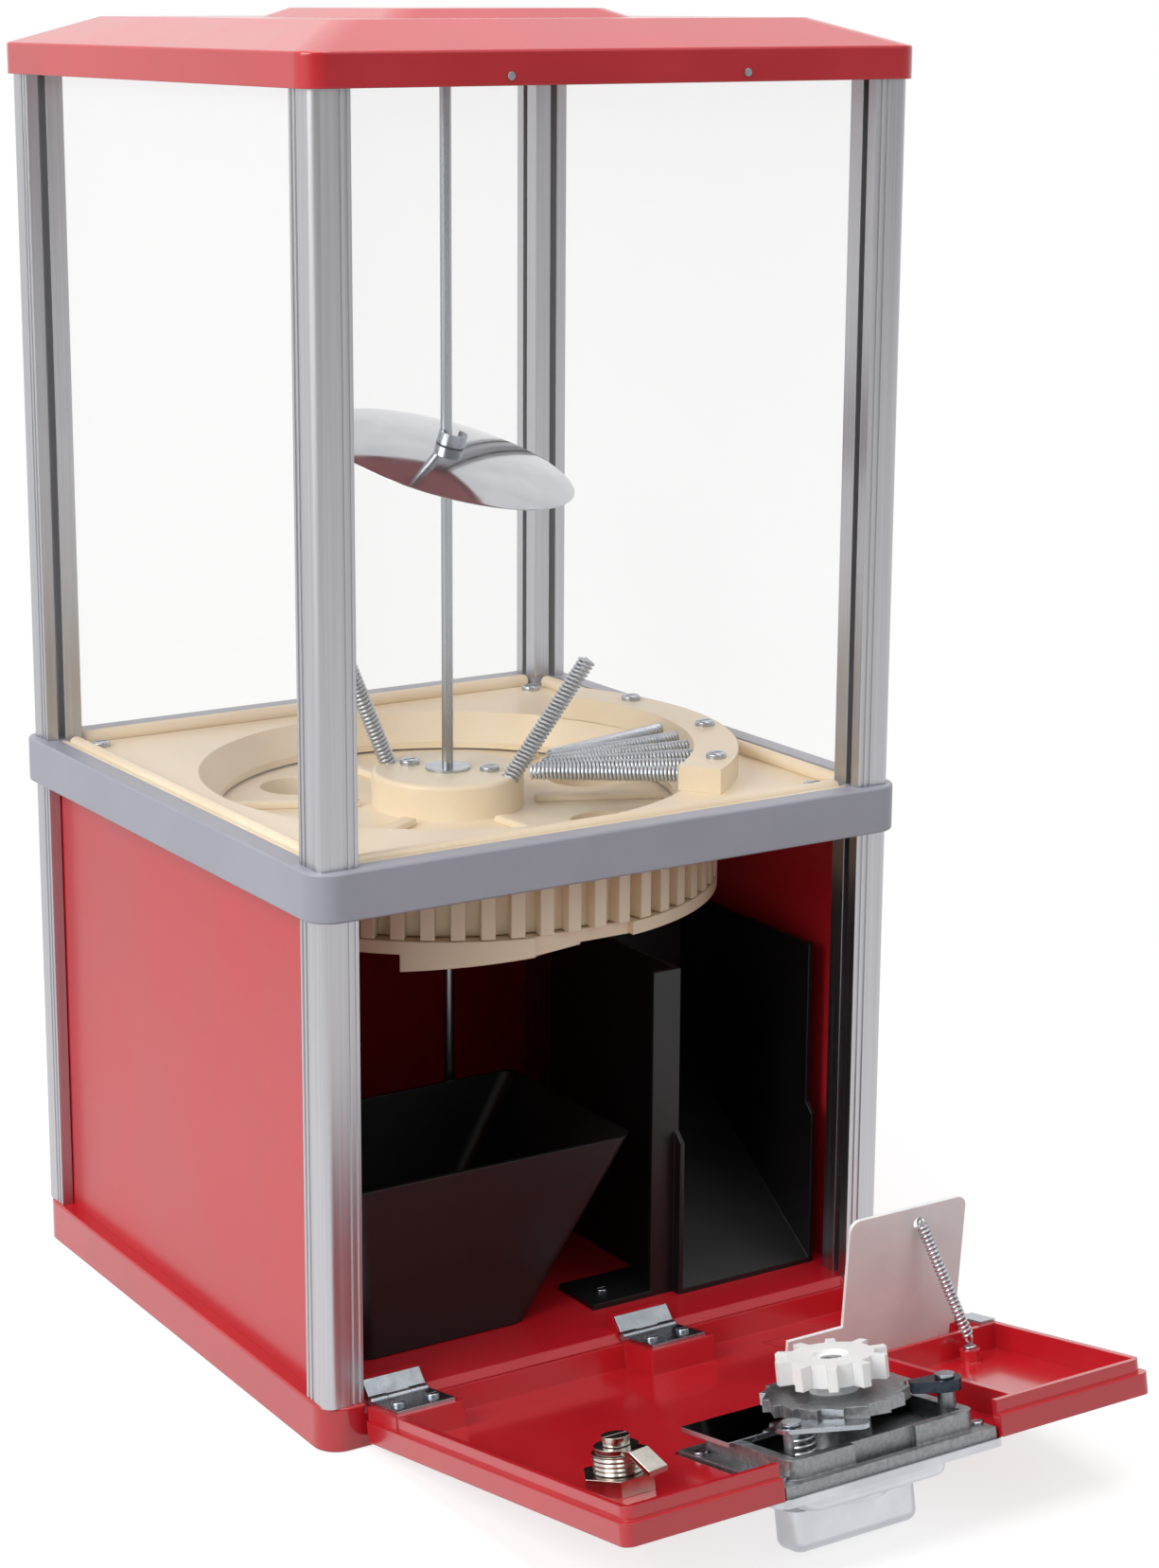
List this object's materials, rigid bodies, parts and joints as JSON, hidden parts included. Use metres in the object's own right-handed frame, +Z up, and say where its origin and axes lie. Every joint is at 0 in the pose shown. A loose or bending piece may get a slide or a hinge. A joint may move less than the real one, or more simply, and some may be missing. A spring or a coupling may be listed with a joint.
{
  "type": "gumball machine",
  "caption": "Square-cabinet gumball machine with clear bin, dispensing wheel, coin mechanism on a drop-down door, cash box and chute.",
  "frame": {"origin": "centre of the base's underside, on the surface it stands on", "axes": "+Z up, the door and coin mechanism face -Y, +X to the right seen from the front"},
  "size_m": [0.27, 0.4492, 0.5355],
  "materials": {
    "red_plastic": "glossy red",
    "grey_band": "satin grey",
    "cream_plastic": "satin cream",
    "post_aluminium": "satin anodised",
    "clear_window": "clear",
    "zinc_steel": "zinc plated",
    "bright_chrome": "polished",
    "black_plastic": "satin black",
    "die_cast": "die-cast grey",
    "white_plastic": "milky white"
  },
  "bodies": {
    "cabinet": {"base_hinge_leaves": "bright_chrome", "base_tray": "red_plastic", "centre_rod": "zinc_steel", "chute": "black_plastic", "chute_screw": "zinc_steel", "hinge_pins": "zinc_steel", "hopper_floor": "cream_plastic", "hopper_screws": "zinc_steel", "lower_post_front_left": "post_aluminium", "lower_post_front_right": "post_aluminium", "lower_post_rear_left": "post_aluminium", "lower_post_rear_right": "post_aluminium", "mid_band": "grey_band", "panel_left": "red_plastic", "panel_rear": "red_plastic", "panel_right": "red_plastic", "rod_fasteners": "zinc_steel", "spring_cover": "cream_plastic", "upper_post_front_left": "post_aluminium", "upper_post_front_right": "post_aluminium", "upper_post_rear_left": "post_aluminium", "upper_post_rear_right": "post_aluminium", "wheel_plate": "cream_plastic", "window_front": "clear_window", "window_left": "clear_window", "window_rear": "clear_window", "window_right": "clear_window", "wiper_springs": "zinc_steel"},
    "lid": {"lid": "red_plastic", "lid_rivets": "zinc_steel"},
    "wheel": {"dispensing_wheel": "cream_plastic", "hub_screws": "zinc_steel", "agitator_springs": "zinc_steel", "hub_washer": "zinc_steel"},
    "disc": {"deflector_disc": "bright_chrome", "disc_clip": "zinc_steel"},
    "cash_box": {"cash_box": "black_plastic"},
    "door": {"door_panel": "red_plastic", "door_hinge_leaves": "bright_chrome", "door_screws": "zinc_steel", "face_plate": "bright_chrome", "mech_body": "die_cast", "mech_plate": "bright_chrome", "pivot_pins": "zinc_steel", "lever_spring": "zinc_steel", "lock_barrel": "bright_chrome", "lock_nut": "bright_chrome", "lock_screw": "bright_chrome", "flap_pin": "zinc_steel", "pin_clip": "zinc_steel", "flap_spring": "zinc_steel"},
    "handle": {"coin_handle": "bright_chrome", "handle_shaft": "zinc_steel", "ratchet_disc": "die_cast", "drive_gear": "white_plastic"},
    "pawl": {"pawl": "zinc_steel"},
    "lever": {"coin_lever": "zinc_steel"},
    "lock_cam": {"lock_cam": "bright_chrome"},
    "flap": {"outlet_flap": "red_plastic", "flap_baffle": "white_plastic"}
  },
  "joints": [
    {"name": "lid_lift", "type": "slide", "parent": "cabinet", "child": "lid", "axis": [0, 0, 1], "range_m": [0, 0.08]},
    {"name": "wheel_turn", "type": "hinge", "parent": "cabinet", "child": "wheel", "pos_m": [0, 0, 0.2], "axis": [0, 0, 1], "continuous": true},
    {"name": "disc_turn", "type": "hinge", "parent": "cabinet", "child": "disc", "pos_m": [0, 0, 0.356], "axis": [0, 0, 1], "continuous": true},
    {"name": "cash_box_lift", "type": "slide", "parent": "cabinet", "child": "cash_box", "axis": [0, 0.9063, -0.4226], "range_m": [-0.15, 0]},
    {"name": "door_swing", "type": "hinge", "parent": "cabinet", "child": "door", "pos_m": [0, -0.1313, 0.0172], "axis": [-1, 0, 0], "range_deg": [0, 79]},
    {"name": "handle_turn", "type": "hinge", "parent": "door", "child": "handle", "pos_m": [-0.003, -0.27854, 0.04582], "axis": [0, 0.1908, 0.9816], "continuous": true},
    {"name": "pawl_swing", "type": "hinge", "parent": "door", "child": "pawl", "pos_m": [0.033, -0.29507, 0.05515], "axis": [0, 0.1908, 0.9816], "range_deg": [0, 10], "stiffness_Nm_per_rad": 0.005},
    {"name": "lever_swing", "type": "hinge", "parent": "door", "child": "lever", "pos_m": [-0.034, -0.29337, 0.05339], "axis": [0, 0.1908, 0.9816], "range_deg": [-12, 0], "stiffness_Nm_per_rad": 0.005},
    {"name": "lock_turn", "type": "hinge", "parent": "door", "child": "lock_cam", "pos_m": [-0.086, -0.26123, 0.04582], "axis": [0, 0.1908, 0.9816], "range_deg": [-90, 0]},
    {"name": "flap_swing", "type": "hinge", "parent": "door", "child": "flap", "pos_m": [0.081, -0.21663, 0.02105], "axis": [-1, 0, 0], "range_deg": [0, 50], "stiffness_Nm_per_rad": 0.06, "springref_deg": -20.05, "deforming": ["flap_spring"]}
  ],
  "couplings": [
    {"joint": "wheel_turn", "follows": "handle_turn", "ratio": 0.16667}
  ]
}
